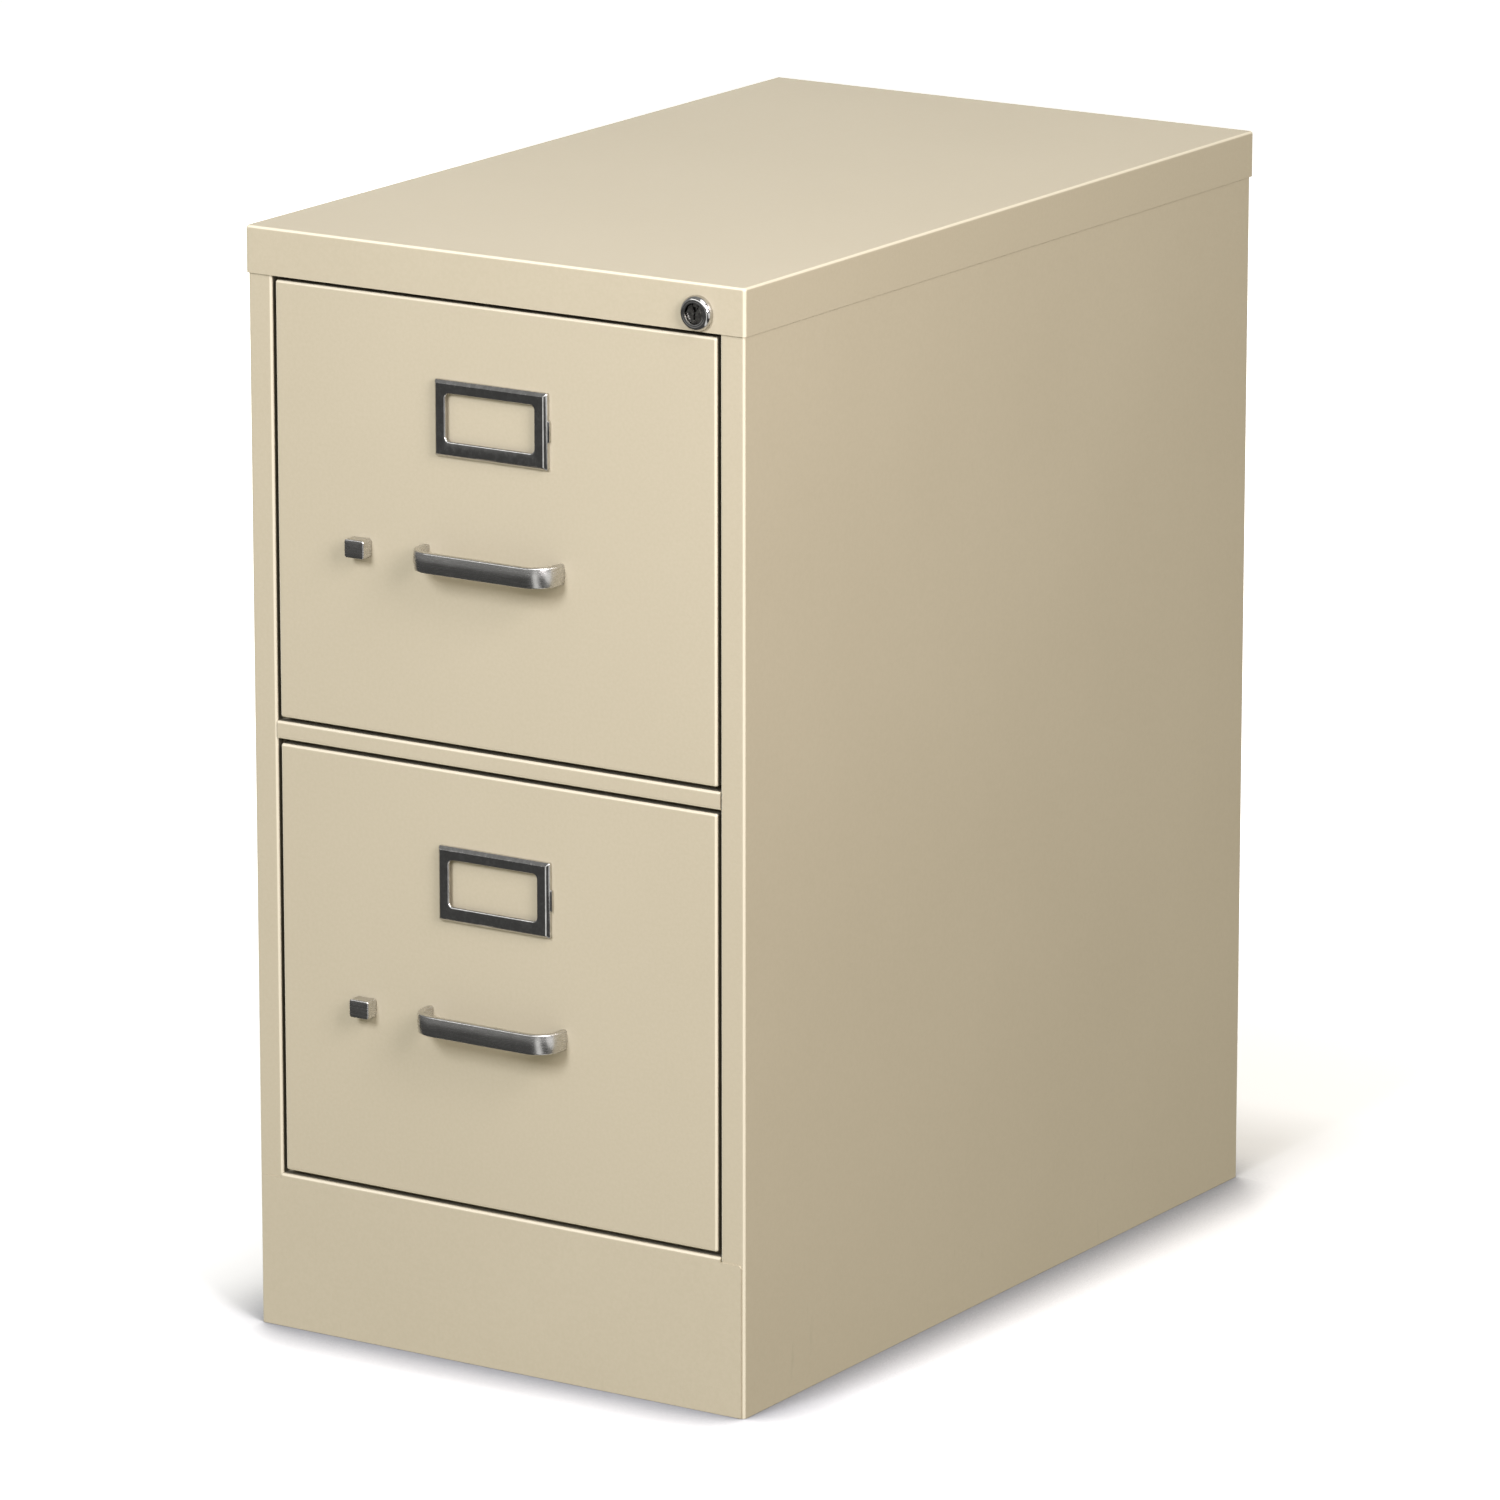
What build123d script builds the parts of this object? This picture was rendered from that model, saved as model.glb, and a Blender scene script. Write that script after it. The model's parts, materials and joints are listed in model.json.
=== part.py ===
from build123d import *
import os
from math import cos, radians, sin

# Two-drawer vertical filing cabinet in painted sheet steel, letter width.
#
# Millimetres. X runs to the right, Y to the back and Z up. The origin is on the floor, midway
# between the cap's sides, and midway between the pulls' fronts and the cap's back. The drawers
# are drawn closed, the latches out and the lock open.

# Overall
cabinet_width = 381.0
cabinet_depth = 635.0
cabinet_height = 736.6

# Sheet thicknesses and bends
sheet = 0.9
cap_sheet = 1.2
rail_sheet = 1.2
edge_radius = 2.0
body_bend = 1.4

# Front layout, from the floor up: base, lower drawer, mid rail, upper drawer, cap
base_height = 105.0
mid_rail_height = 12.0
cap_height = 31.0
reveal = 2.8
stile_width = 18.1

# Case
cap_corner_radius = 2.5
stile_lip = 14.0
rear_flange = 15.0
bottom_flange = 15.0
cap_top_gap = 1.0
mid_rail_depth = 25.0
mid_rail_end_gap = 0.3
base_flange = 20.0
base_wing_inset = 2.3
base_wing_drop = 3.0
base_corner_radius = 2.5
rear_rail_depth = 30.0
rear_rail_height = 50.0
rear_rail_lip = 20.0
upright_width = 30.0
upright_floor_gap = 12.0
upright_top_gap = 10.0
front_upright_setback = 54.0
rear_upright_setback = 56.0

# Drawer
front_depth = 20.0
pan_corner_radius = 1.5
liner_corner_radius = 1.5
drawer_rear_gap = 31.7
drawer_body_rise = 21.2
drawer_body_drop = 27.5
drawer_hem = 2.5
back_flange = 12.0

# Telescopic slide, in section from the case inwards
slide_rise = 82.0
slide_setback = 6.0
slide_tail = 8.0
slide_reserve = 20.0
slide_bend = 1.6
slide_lip = 2.4
ball_radius = 2.0
ball_clearance = 0.1
ball_pocket_clearance = 0.15
cage_sheet = 0.8
cage_bend = 1.2
cage_margin = 20.0
cage_end = 20.0
cage_balls = 6
case_to_cage = 0.6
cage_to_member = 0.5
drawer_member_half_height = 12.2
drawer_member_depth = 8.5
drawer_member_to_cage = 0.6
middle_member_depth = 10.0
case_member_depth = 10.2
outer_ball_inset = 6.2
inner_ball_inset = 5.0
cage_flange_reach = 3.6
bumper_length = 6.0
bumper_gap = 0.5
bumper_half_height = 9.0
bumper_inset = 12.0

# Pull
pull_drop = 165.5
pull_half_width = 54.5
pull_height = 13.6
pull_projection = 24.0
pull_thickness = 4.8
pull_bend = 18.0
pull_edge = 1.2
screw_radius = 1.5
screw_bore_clearance = 0.05
screw_hole_clearance = 0.3
screw_grip = 9.0
screw_head_radius = 3.2
screw_head_height = 2.4
driver_hole_radius = 5.0

# Card holder
holder_drop = 74.5
holder_width = 86.0
holder_height = 49.8
holder_depth = 4.5
holder_bevel = 2.2
holder_face = 1.2
window_width = 68.0
window_height = 31.0
window_corner = 3.0
window_drop = 1.0
pocket_width = 78.0
pocket_height = 42.0
holder_tab_width = 5.0
holder_tab_reach = 3.0
holder_tab_inset = 1.5
holder_tab_clearance = 0.3
card_stop_height = 14.0
card_stop_reach = 1.2
card_stop_thickness = 2.2

# Thumb latch
latch_below_pull = 1.5
latch_x = -102.0
latch_travel = 8.0
button_width = 15.0
button_height = 12.3
button_projection = 10.0
button_gap = 0.3
button_edge = 1.0
button_corner = 1.8
shank_width = 4.2
shank_height = 6.0
shank_offset = 4.1
slot_clearance = 0.3
latch_bar_gap = 6.0
latch_bar_thickness = 3.0
latch_bar_half_height = 4.0
latch_bar_tail = 12.0
bolt_reach = 9.6
bolt_chamfer = 2.0
bolt_hole_clearance = 0.6
strike_half_height = 12.0
strike_sheet = 1.2
bracket_sheet = 1.2
bracket_inset = 19.5
bracket_guide_length = 8.0
bracket_clearance = 0.3
spring_length = 28.0
spring_coil_radius = 2.6
spring_wire_radius = 0.4
spring_turns = 9

# Lock in the cap's front flange, and the bar it lifts
lock_inset = 15.7
bezel_projection = 5.0
bezel_overlap = 1.85
bezel_dome_rise = 3.6
bezel_dome_inset = 0.45
bezel_flat = 1.3
bezel_step = 1.2
bezel_step_depth = 0.9
barrel_wall = 2.9
lock_hole_clearance = 0.1
lock_depth = 24.0
plug_radius = 6.5
plug_clearance = 0.05
plug_recess = 1.4
plug_tail = 0.5
plug_edge = 0.4
keyway_width = 1.8
keyway_height = 8.4
keyway_depth = 18.0
nut_wall = 1.0
nut_lip_gap = 0.3
nut_thickness = 3.0
cam_thickness = 2.0
cam_hub_radius = 6.0
cam_tip_radius = 3.2
cam_throw = 9.0
cam_rest_angle = -45.0
cam_pin_radius = 2.0
cam_pin_length = 3.4
cam_slot_clearance = 0.45
cam_to_bar = 0.4
bar_thickness = 2.0
bar_width = 12.0
bar_wall_gap = 2.4
bar_arm_half_height = 5.5
bar_slot_wall = 1.9
bar_tail = 19.0
hook_height = 10.0
hook_side_gap = 3.0
hook_gap = 3.0
hook_overlap = 10.0
lug_drop = 64.5
lug_height = 8.0
lug_side_gap = 3.2
lug_length = 10.0
lug_edge = 0.9
lug_gap = 0.5
guide_height = 20.0
guide_wall = 1.2
guide_clearance = 0.3
guide_drop = 78.0

# Planes and edges that the pieces share
case_half = cabinet_width / 2 - cap_sheet
case_inner = case_half - sheet
cap_front = (pull_projection - cap_sheet - cabinet_depth) / 2
cap_back = cap_front + cabinet_depth
case_front = cap_front + cap_sheet
case_back = cap_back - cap_sheet
back_inner = case_back - sheet
cap_bottom = cabinet_height - cap_height
case_top = cabinet_height - cap_sheet - cap_top_gap
opening_half = case_half - stile_width
front_half = opening_half - reveal
front_height = (cap_bottom - base_height - mid_rail_height - 4 * reveal) / 2
lower_bottom = base_height + reveal
mid_rail_bottom = lower_bottom + front_height + reveal
upper_bottom = mid_rail_bottom + mid_rail_height + reveal
drawers = {"upper": upper_bottom, "lower": lower_bottom}

pan_inner = case_front + sheet
body_front = case_front + front_depth
body_back = back_inner - drawer_rear_gap
drawer_body_length = body_back - body_front
drawer_body_height = front_height - drawer_body_rise - drawer_body_drop
pull_rise = front_height - pull_drop
latch_rise = pull_rise - latch_below_pull
holder_rise = front_height - holder_drop
lug_rise = front_height - lug_drop
front_upright_y = (case_front + front_upright_setback, case_front + front_upright_setback + upright_width)
rear_upright_y = (case_back - rear_upright_setback - upright_width, case_back - rear_upright_setback)

# Slide section: x of each layer on the right-hand side, and heights from the slide's centre line
case_web = opening_half - rail_sheet
outer_cage_web = case_web - case_to_cage
middle_out = outer_cage_web - cage_sheet - cage_to_member
middle_web = middle_out - rail_sheet
inner_cage_web = middle_web - cage_to_member
drawer_member_out = inner_cage_web - cage_sheet - drawer_member_to_cage
drawer_half = drawer_member_out - drawer_member_depth
middle_in = middle_out - middle_member_depth
case_member_in = opening_half - case_member_depth
outer_ball_x = opening_half - outer_ball_inset
inner_ball_x = drawer_half + inner_ball_inset
ball_row = 2 * (ball_radius + ball_clearance)
inner_ball_z = drawer_member_half_height + ball_row / 2
middle_half_height = drawer_member_half_height + ball_row + rail_sheet
outer_ball_z = middle_half_height + ball_row / 2
case_member_half_height = middle_half_height + ball_row + rail_sheet
slide_front = body_front + slide_setback
slide_length = drawer_body_length
slide_back = slide_front + slide_length
drawer_travel = slide_length - slide_reserve
slide_overlap = slide_length - drawer_travel / 2
cage_length = slide_overlap - 2 * cage_margin
cage_ball_pitch = (cage_length - 2 * cage_end) / (cage_balls - 1)
cage_front = slide_front + drawer_travel / 4 + (slide_overlap - cage_length) / 2

# Latch and lock lines
latch_bar_y = (pan_inner + latch_bar_gap, pan_inner + latch_bar_gap + latch_bar_thickness)
shank_x = (latch_x - shank_offset - shank_width / 2, latch_x - shank_offset + shank_width / 2)
latch_bar_right = latch_x + latch_bar_tail
bolt_tip_x = -front_half - bolt_reach
lock_barrel_radius = plug_radius + barrel_wall
bezel_radius = lock_barrel_radius + bezel_overlap
bezel_step_radius = plug_radius + bezel_step
bezel_flat_radius = bezel_step_radius + bezel_flat
nut_radius = lock_barrel_radius + nut_wall
lock_x = opening_half - lock_inset
lock_z = cap_bottom + cap_sheet + nut_lip_gap + nut_radius
barrel_back = cap_front + lock_depth
plug_back = barrel_back + plug_tail
cam_back = plug_back + cam_thickness
bar_y = (cam_back + cam_to_bar, cam_back + cam_to_bar + bar_thickness)
bar_x = (case_inner - bar_wall_gap - bar_width, case_inner - bar_wall_gap)
pin_x = lock_x + cam_throw * cos(radians(cam_rest_angle))
pin_z = lock_z + cam_throw * sin(radians(cam_rest_angle))
pin_reach = cam_throw * (1 - cos(radians(cam_rest_angle)))
bar_foot = lower_bottom + lug_rise - guide_drop - bar_tail
lug_x = (drawer_half, opening_half - lug_side_gap)
hook_x = (drawer_half + hook_side_gap, bar_x[0] + hook_overlap)


def front_plane(x, y, z):
    """A plane that faces forwards, with X to the right and Z up."""
    return Plane(origin=(x, y, z), x_dir=(1, 0, 0), z_dir=(0, -1, 0))


def block(x, y, z, mode=Mode.ADD):
    """A rectangular block between two x, two y and two z values, in the part being built."""
    with Locations(((x[0] + x[1]) / 2, (y[0] + y[1]) / 2, (z[0] + z[1]) / 2)):
        Box(x[1] - x[0], y[1] - y[0], z[1] - z[0], mode=mode)


def write(piece, name):
    piece.part.label = name
    export_step(piece.part, f"parts/{name}.step")


# ---------------------------------------------------------------- case


def right_side():
    """Side wall with its front stile and lip, rear flange and bottom flange."""
    with BuildPart() as panel:
        with BuildSketch():
            with BuildLine():
                FilletPolyline(
                    (opening_half, case_front + stile_lip),
                    (opening_half, case_front),
                    (case_half, case_front),
                    (case_half, back_inner),
                    (case_half - rear_flange, back_inner),
                    radius=edge_radius,
                )
                offset(amount=sheet, side=Side.LEFT)
            make_face()
        extrude(amount=case_top)
        block(
            (case_half - bottom_flange, case_inner),
            (case_front + stile_lip, back_inner - rear_rail_depth - edge_radius),
            (0, sheet),
        )
    return panel


def left_side():
    """The right side mirrored, with a bolt hole in the stile's lip for each latch."""
    with BuildPart() as panel:
        mirror(right_side().part, about=Plane.YZ)
        for bottom in drawers.values():
            bolt_hole(bottom + latch_rise)
    return panel


def bolt_hole(z):
    """A slot through the left stile's lip and strike, round the latch bolt."""
    gap = bolt_hole_clearance
    block(
        (-opening_half - sheet - 2 * strike_sheet, -opening_half + sheet),
        (latch_bar_y[0] - gap, latch_bar_y[1] + gap),
        (z - latch_bar_half_height - gap, z + latch_bar_half_height + gap),
        mode=Mode.SUBTRACT,
    )


def back_panel():
    with BuildPart() as panel:
        with BuildSketch(front_plane(0, back_inner, case_top / 2)):
            Rectangle(2 * (case_half - edge_radius), case_top)
        extrude(amount=-sheet)
    return panel


def top_cap():
    """Wrap-over top with four flanges, a lip under the front one and the lock's hole."""
    with BuildPart() as cap:
        with BuildSketch(Plane.XY.offset(cap_bottom)):
            with Locations((0, (cap_front + cap_back) / 2)):
                RectangleRounded(cabinet_width, cabinet_depth, cap_corner_radius)
        extrude(amount=cap_height)
        fillet(cap.faces().sort_by(Axis.Z)[-1].edges(), edge_radius)
        offset(amount=-cap_sheet, openings=cap.faces().sort_by(Axis.Z)[0])
        block(
            (-opening_half, opening_half),
            (cap_front + cap_sheet / 2, case_front + stile_lip),
            (cap_bottom, cap_bottom + cap_sheet),
        )
        with Locations(front_plane(lock_x, cap_front, lock_z)):
            Hole(lock_barrel_radius + lock_hole_clearance, depth=2 * cap_sheet)
    return cap


def mid_rail():
    """Channel between the drawers, open to the back."""
    low, high = mid_rail_bottom, mid_rail_bottom + mid_rail_height
    with BuildPart() as rail:
        with BuildSketch(Plane.YZ):
            with BuildLine():
                FilletPolyline(
                    (case_front + mid_rail_depth, low),
                    (case_front, low),
                    (case_front, high),
                    (case_front + mid_rail_depth, high),
                    radius=edge_radius,
                )
                offset(amount=sheet, side=Side.RIGHT)
            make_face()
        extrude(amount=opening_half, both=True)
        for side in (-1, 1):
            end = sorted((side * opening_half, side * (opening_half - mid_rail_end_gap)))
            block(end, (case_front, case_front + edge_radius), (low, high), mode=Mode.SUBTRACT)
    return rail


def base_panel():
    """Toe panel in front of the stiles, with flanges turned back at its top and at the floor."""
    face = case_front - sheet
    with BuildPart() as panel:
        with BuildSketch(Plane.YZ):
            with BuildLine():
                FilletPolyline(
                    (face + base_flange, 0),
                    (face, 0),
                    (face, base_height),
                    (face + base_flange, base_height),
                    radius=edge_radius,
                )
                offset(amount=sheet, side=Side.RIGHT)
            make_face()
        extrude(amount=opening_half, both=True)
        with BuildSketch(front_plane(0, case_front, 0)) as wings:
            with Locations((0, (base_height - base_wing_drop) / 2)):
                Rectangle(2 * (case_half - base_wing_inset), base_height - base_wing_drop)
            fillet(wings.vertices().group_by(Axis.Y)[-1], base_corner_radius)
        extrude(amount=sheet)
    return panel


def bottom_rear_rail():
    """J-shaped rail along the floor at the back."""
    with BuildPart() as rail:
        with BuildSketch(Plane.YZ):
            with BuildLine():
                FilletPolyline(
                    (back_inner, rear_rail_height),
                    (back_inner, 0),
                    (back_inner - rear_rail_depth, 0),
                    (back_inner - rear_rail_depth, rear_rail_lip),
                    radius=edge_radius,
                )
                offset(amount=sheet, side=Side.RIGHT)
            make_face()
        extrude(amount=case_half - rear_flange, both=True)
    return rail


def right_upright(y):
    """Channel that stands against the right side wall and carries the slides."""
    with BuildPart() as upright:
        with BuildSketch(Plane.XY.offset(upright_floor_gap)):
            with BuildLine():
                FilletPolyline(
                    (case_inner, y[0]),
                    (opening_half, y[0]),
                    (opening_half, y[1]),
                    (case_inner, y[1]),
                    radius=edge_radius,
                )
                offset(amount=rail_sheet, side=Side.RIGHT)
            make_face()
        extrude(amount=case_top - upright_top_gap - upright_floor_gap)
    return upright


def uprights():
    write(right_upright(front_upright_y), "right_front_upright")
    with BuildPart() as left_front:
        mirror(right_upright(front_upright_y).part, about=Plane.YZ)
    write(left_front, "left_front_upright")
    with BuildPart() as rear:
        add(right_upright(rear_upright_y).part)
        mirror(right_upright(rear_upright_y).part, about=Plane.YZ)
    write(rear, "rear_uprights")


def latch_strikes():
    """A catch plate behind the left stile's lip at each latch."""
    with BuildPart() as strikes:
        for bottom in drawers.values():
            z = bottom + latch_rise
            block(
                (-opening_half - sheet - strike_sheet, -opening_half - sheet),
                (case_front + edge_radius, case_front + stile_lip),
                (z - strike_half_height, z + strike_half_height),
            )
            bolt_hole(z)
    return strikes


# ---------------------------------------------------------------- slides


def slide_plane(level, y):
    return front_plane(0, y, drawers[level] + slide_rise)


def both_hands(right):
    """The right-hand piece and its mirror image, in one part."""
    with BuildPart() as pair:
        add(right.part)
        mirror(right.part, about=Plane.YZ)
    return pair


def case_member(level):
    """Outer channel of the slide, fixed to the uprights."""
    top = case_member_half_height
    with BuildPart() as member:
        with BuildSketch(slide_plane(level, slide_front)):
            with BuildLine():
                FilletPolyline(
                    (case_member_in, top - slide_lip),
                    (case_member_in, top),
                    (opening_half, top),
                    (opening_half, -top),
                    (case_member_in, -top),
                    (case_member_in, slide_lip - top),
                    radius=slide_bend,
                )
                offset(amount=rail_sheet, side=Side.RIGHT)
            make_face()
        extrude(amount=-slide_length - slide_tail)
    return member


def middle_member(level):
    """Middle channel of the slide. It carries both rows of balls."""
    top = middle_half_height
    with BuildPart() as member:
        with BuildSketch(slide_plane(level, slide_front)):
            with BuildLine():
                FilletPolyline(
                    (middle_in, top - slide_lip),
                    (middle_in, top),
                    (middle_out, top),
                    (middle_out, -top),
                    (middle_in, -top),
                    (middle_in, slide_lip - top),
                    radius=slide_bend,
                )
                offset(amount=rail_sheet, side=Side.RIGHT)
            make_face()
        extrude(amount=-slide_length)
    return member


def drawer_member(level):
    """Inner channel of the slide, fixed to the drawer's side."""
    top = drawer_member_half_height
    with BuildPart() as member:
        with BuildSketch(slide_plane(level, slide_front)):
            with BuildLine():
                FilletPolyline(
                    (drawer_member_out, top),
                    (drawer_half, top),
                    (drawer_half, -top),
                    (drawer_member_out, -top),
                    radius=slide_bend,
                )
                offset(amount=rail_sheet, side=Side.LEFT)
            make_face()
        extrude(amount=-slide_length)
    return member


def ball_cage(level, web, ball_x, ball_z):
    """A folded retainer with a row of balls above and below."""
    top = ball_z + cage_sheet / 2
    centre_y = cage_front + cage_length / 2
    centre_z = drawers[level] + slide_rise
    rows = [(ball_x, centre_y, centre_z + side * ball_z) for side in (-1, 1)]
    with BuildPart() as cage:
        with BuildSketch(slide_plane(level, cage_front)):
            with BuildLine():
                FilletPolyline(
                    (ball_x - cage_flange_reach, top),
                    (web, top),
                    (web, -top),
                    (ball_x - cage_flange_reach, -top),
                    radius=cage_bend,
                )
                offset(amount=cage_sheet, side=Side.RIGHT)
            make_face()
        extrude(amount=-cage_length)
        for row in rows:
            with Locations(row):
                with GridLocations(1, cage_ball_pitch, 1, cage_balls):
                    Cylinder(ball_radius + ball_pocket_clearance, 2 * cage_sheet, mode=Mode.SUBTRACT)
                    Sphere(ball_radius)
    return cage


def slides(level):
    for make, name in ((case_member, "case_slide"), (middle_member, "middle_slide"),
                       (drawer_member, "drawer_slide")):
        right = make(level)
        with BuildPart() as left:
            mirror(right.part, about=Plane.YZ)
        write(right, f"{level}_right_{name}")
        write(left, f"{level}_left_{name}")
    outer = ball_cage(level, outer_cage_web, outer_ball_x, outer_ball_z)
    inner = ball_cage(level, inner_cage_web, inner_ball_x, inner_ball_z)
    write(both_hands(outer), f"{level}_outer_ball_cages")
    write(both_hands(inner), f"{level}_inner_ball_cages")


def slide_bumpers():
    """Rubber stops in the tails of the four case members."""
    y = (slide_back + bumper_gap, slide_back + bumper_gap + bumper_length)
    with BuildPart() as bumpers:
        for bottom in drawers.values():
            centre = bottom + slide_rise
            z = (centre - bumper_half_height, centre + bumper_half_height)
            for side in (-1, 1):
                x = sorted((side * case_web, side * (case_web - bumper_inset)))
                block(x, y, z)
    return bumpers


# ---------------------------------------------------------------- drawer


def drawer_front(bottom):
    """Front pan with returned edges, and the holes for what is fixed to it."""
    button_z = bottom + latch_rise
    with BuildPart() as pan:
        with BuildSketch(front_plane(0, case_front, bottom + front_height / 2)):
            RectangleRounded(2 * front_half, front_height, pan_corner_radius)
        extrude(amount=-front_depth)
        fillet(pan.faces().sort_by(Axis.Y)[0].edges(), edge_radius)
        offset(amount=-sheet, openings=pan.faces().sort_by(Axis.Y)[-1])
        block(
            (shank_x[0] - slot_clearance, shank_x[1] + latch_travel + slot_clearance),
            (case_front, pan_inner),
            (button_z - shank_height / 2 - slot_clearance, button_z + shank_height / 2 + slot_clearance),
            mode=Mode.SUBTRACT,
        )
        block(
            (-front_half, sheet - front_half),
            (latch_bar_y[0] - bolt_hole_clearance, latch_bar_y[1] + bolt_hole_clearance),
            (button_z - latch_bar_half_height - bolt_hole_clearance,
             button_z + latch_bar_half_height + bolt_hole_clearance),
            mode=Mode.SUBTRACT,
        )
        for x in holder_tab_x():
            block(
                (x[0] - holder_tab_clearance, x[1] + holder_tab_clearance),
                (case_front, pan_inner),
                (bottom + holder_rise - holder_tab_width / 2 - holder_tab_clearance,
                 bottom + holder_rise + holder_tab_width / 2 + holder_tab_clearance),
                mode=Mode.SUBTRACT,
            )
        for x in screw_places():
            with Locations(front_plane(x, case_front, bottom + pull_rise)):
                Hole(screw_radius + screw_hole_clearance, depth=2 * sheet)
    return pan


def drawer_liner(bottom):
    """Flat sheet that closes the pan, with a driver hole behind each pull screw."""
    with BuildPart() as liner:
        with BuildSketch(front_plane(0, body_front - sheet, bottom + front_height / 2)):
            RectangleRounded(2 * (front_half - sheet), front_height - 2 * sheet, liner_corner_radius)
        extrude(amount=-sheet)
        for x in screw_places():
            with Locations(front_plane(x, body_front - sheet, bottom + pull_rise)):
                Hole(driver_hole_radius, depth=2 * sheet)
    return liner


def drawer_body(bottom):
    """Sides and bottom folded from one sheet, with hemmed top edges."""
    low = bottom + drawer_body_rise
    under_hem = low + drawer_body_height - sheet
    with BuildPart() as body:
        with BuildSketch(front_plane(0, body_front, 0)):
            with BuildLine():
                FilletPolyline(
                    (-drawer_half - drawer_hem, under_hem),
                    (-drawer_half, under_hem),
                    (-drawer_half, low),
                    (drawer_half, low),
                    (drawer_half, under_hem),
                    (drawer_half + drawer_hem, under_hem),
                    radius=body_bend,
                )
                offset(amount=sheet, side=Side.LEFT)
            make_face()
        extrude(amount=-drawer_body_length)
    return body


def drawer_back(bottom):
    """Back wall between the drawer's sides, with its top edge turned forwards."""
    low = bottom + drawer_body_rise + sheet
    high = bottom + drawer_body_rise + drawer_body_height
    half = drawer_half - sheet
    with BuildPart() as back:
        with BuildSketch(Plane.YZ):
            with BuildLine():
                FilletPolyline(
                    (body_back, low),
                    (body_back, high),
                    (body_back - back_flange, high),
                    radius=body_bend,
                )
                offset(amount=sheet, side=Side.LEFT)
            make_face()
        extrude(amount=half, both=True)
        bottom_corners = back.edges().filter_by(Axis.Y).group_by(Axis.Z)[0]
        fillet(bottom_corners, body_bend)
    return back


def screw_places():
    reach = pull_half_width - pull_thickness / 2
    return (-reach, reach)


def pull(bottom):
    """D-shaped strap with large end bends, tapped in both feet."""
    z = bottom + pull_rise
    front = case_front - pull_projection
    with BuildPart() as strap:
        with BuildSketch(Plane.XY.offset(z - pull_height / 2)):
            with BuildLine():
                FilletPolyline(
                    (-pull_half_width, case_front),
                    (-pull_half_width, front),
                    (pull_half_width, front),
                    (pull_half_width, case_front),
                    radius=pull_bend,
                )
                offset(amount=pull_thickness, side=Side.LEFT)
            make_face()
        extrude(amount=pull_height)
        rims = strap.faces().filter_by(Axis.Z).edges()
        seats = strap.faces().filter_by(Axis.Y).group_by(Axis.Y)[-1].edges()
        fillet([edge for edge in rims if edge not in seats], pull_edge)
        for x in screw_places():
            with Locations(Plane(origin=(x, case_front, z), z_dir=(0, 1, 0))):
                Hole(screw_radius + screw_bore_clearance, depth=screw_grip + screw_radius)
    return strap


def pull_screws(bottom):
    """Two pan-head screws that hold the pull from inside the drawer front."""
    with BuildPart() as screws:
        for x in screw_places():
            with BuildSketch(front_plane(x, pan_inner + screw_head_height, bottom + pull_rise)):
                Circle(screw_head_radius)
            extrude(amount=screw_head_height)
            with BuildSketch(front_plane(x, pan_inner, bottom + pull_rise)):
                Circle(screw_radius)
            extrude(amount=sheet + screw_grip)
    return screws


def holder_tab_x():
    """The x range of each tab that fixes the card holder through the pan."""
    edge = holder_width / 2 - holder_tab_inset
    return ((-edge, sheet - edge), (edge - sheet, edge))


def label_holder(bottom):
    """Bevelled card frame with a window, a card pocket behind it and two fixing tabs."""
    z = bottom + holder_rise
    with BuildPart() as holder:
        with BuildSketch(front_plane(0, case_front, z)):
            Rectangle(holder_width, holder_height)
        extrude(amount=holder_depth)
        chamfer(holder.faces().sort_by(Axis.Y)[0].edges(), holder_bevel)
        with BuildSketch(front_plane(0, case_front, z)):
            Rectangle(pocket_width, pocket_height)
        extrude(amount=holder_depth - holder_face, mode=Mode.SUBTRACT)
        with BuildSketch(front_plane(0, case_front, z + window_drop)):
            RectangleRounded(window_width, window_height, window_corner)
        extrude(amount=holder_depth, mode=Mode.SUBTRACT)
        block(
            (holder_width / 2 - sheet, holder_width / 2 + card_stop_reach),
            (case_front - card_stop_thickness, case_front),
            (z - card_stop_height / 2, z + card_stop_height / 2),
        )
        for x in holder_tab_x():
            block(
                x,
                (case_front - card_stop_thickness, pan_inner + holder_tab_reach),
                (z - holder_tab_width / 2, z + holder_tab_width / 2),
            )
    return holder


def latch_button(bottom):
    """Thumb piece outside the pan, with a shank through its slot."""
    z = bottom + latch_rise
    with BuildPart() as button:
        with BuildSketch(front_plane(latch_x, case_front - button_gap, z)):
            RectangleRounded(button_width, button_height, button_corner)
        extrude(amount=button_projection - button_gap)
        fillet(button.faces().sort_by(Axis.Y)[0].edges(), button_edge)
        block(
            shank_x,
            (case_front - button_gap, latch_bar_y[0]),
            (z - shank_height / 2, z + shank_height / 2),
        )
    return button


def latch_bar(bottom):
    """Flat bar behind the button. Its ramped left end is the bolt."""
    z = bottom + latch_rise
    with BuildPart() as bar:
        block(
            (bolt_tip_x, latch_bar_right),
            latch_bar_y,
            (z - latch_bar_half_height, z + latch_bar_half_height),
        )
        tip = bar.faces().sort_by(Axis.X)[0]
        chamfer(tip.edges().sort_by(Axis.Y)[-1], bolt_chamfer)
    return bar


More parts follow.
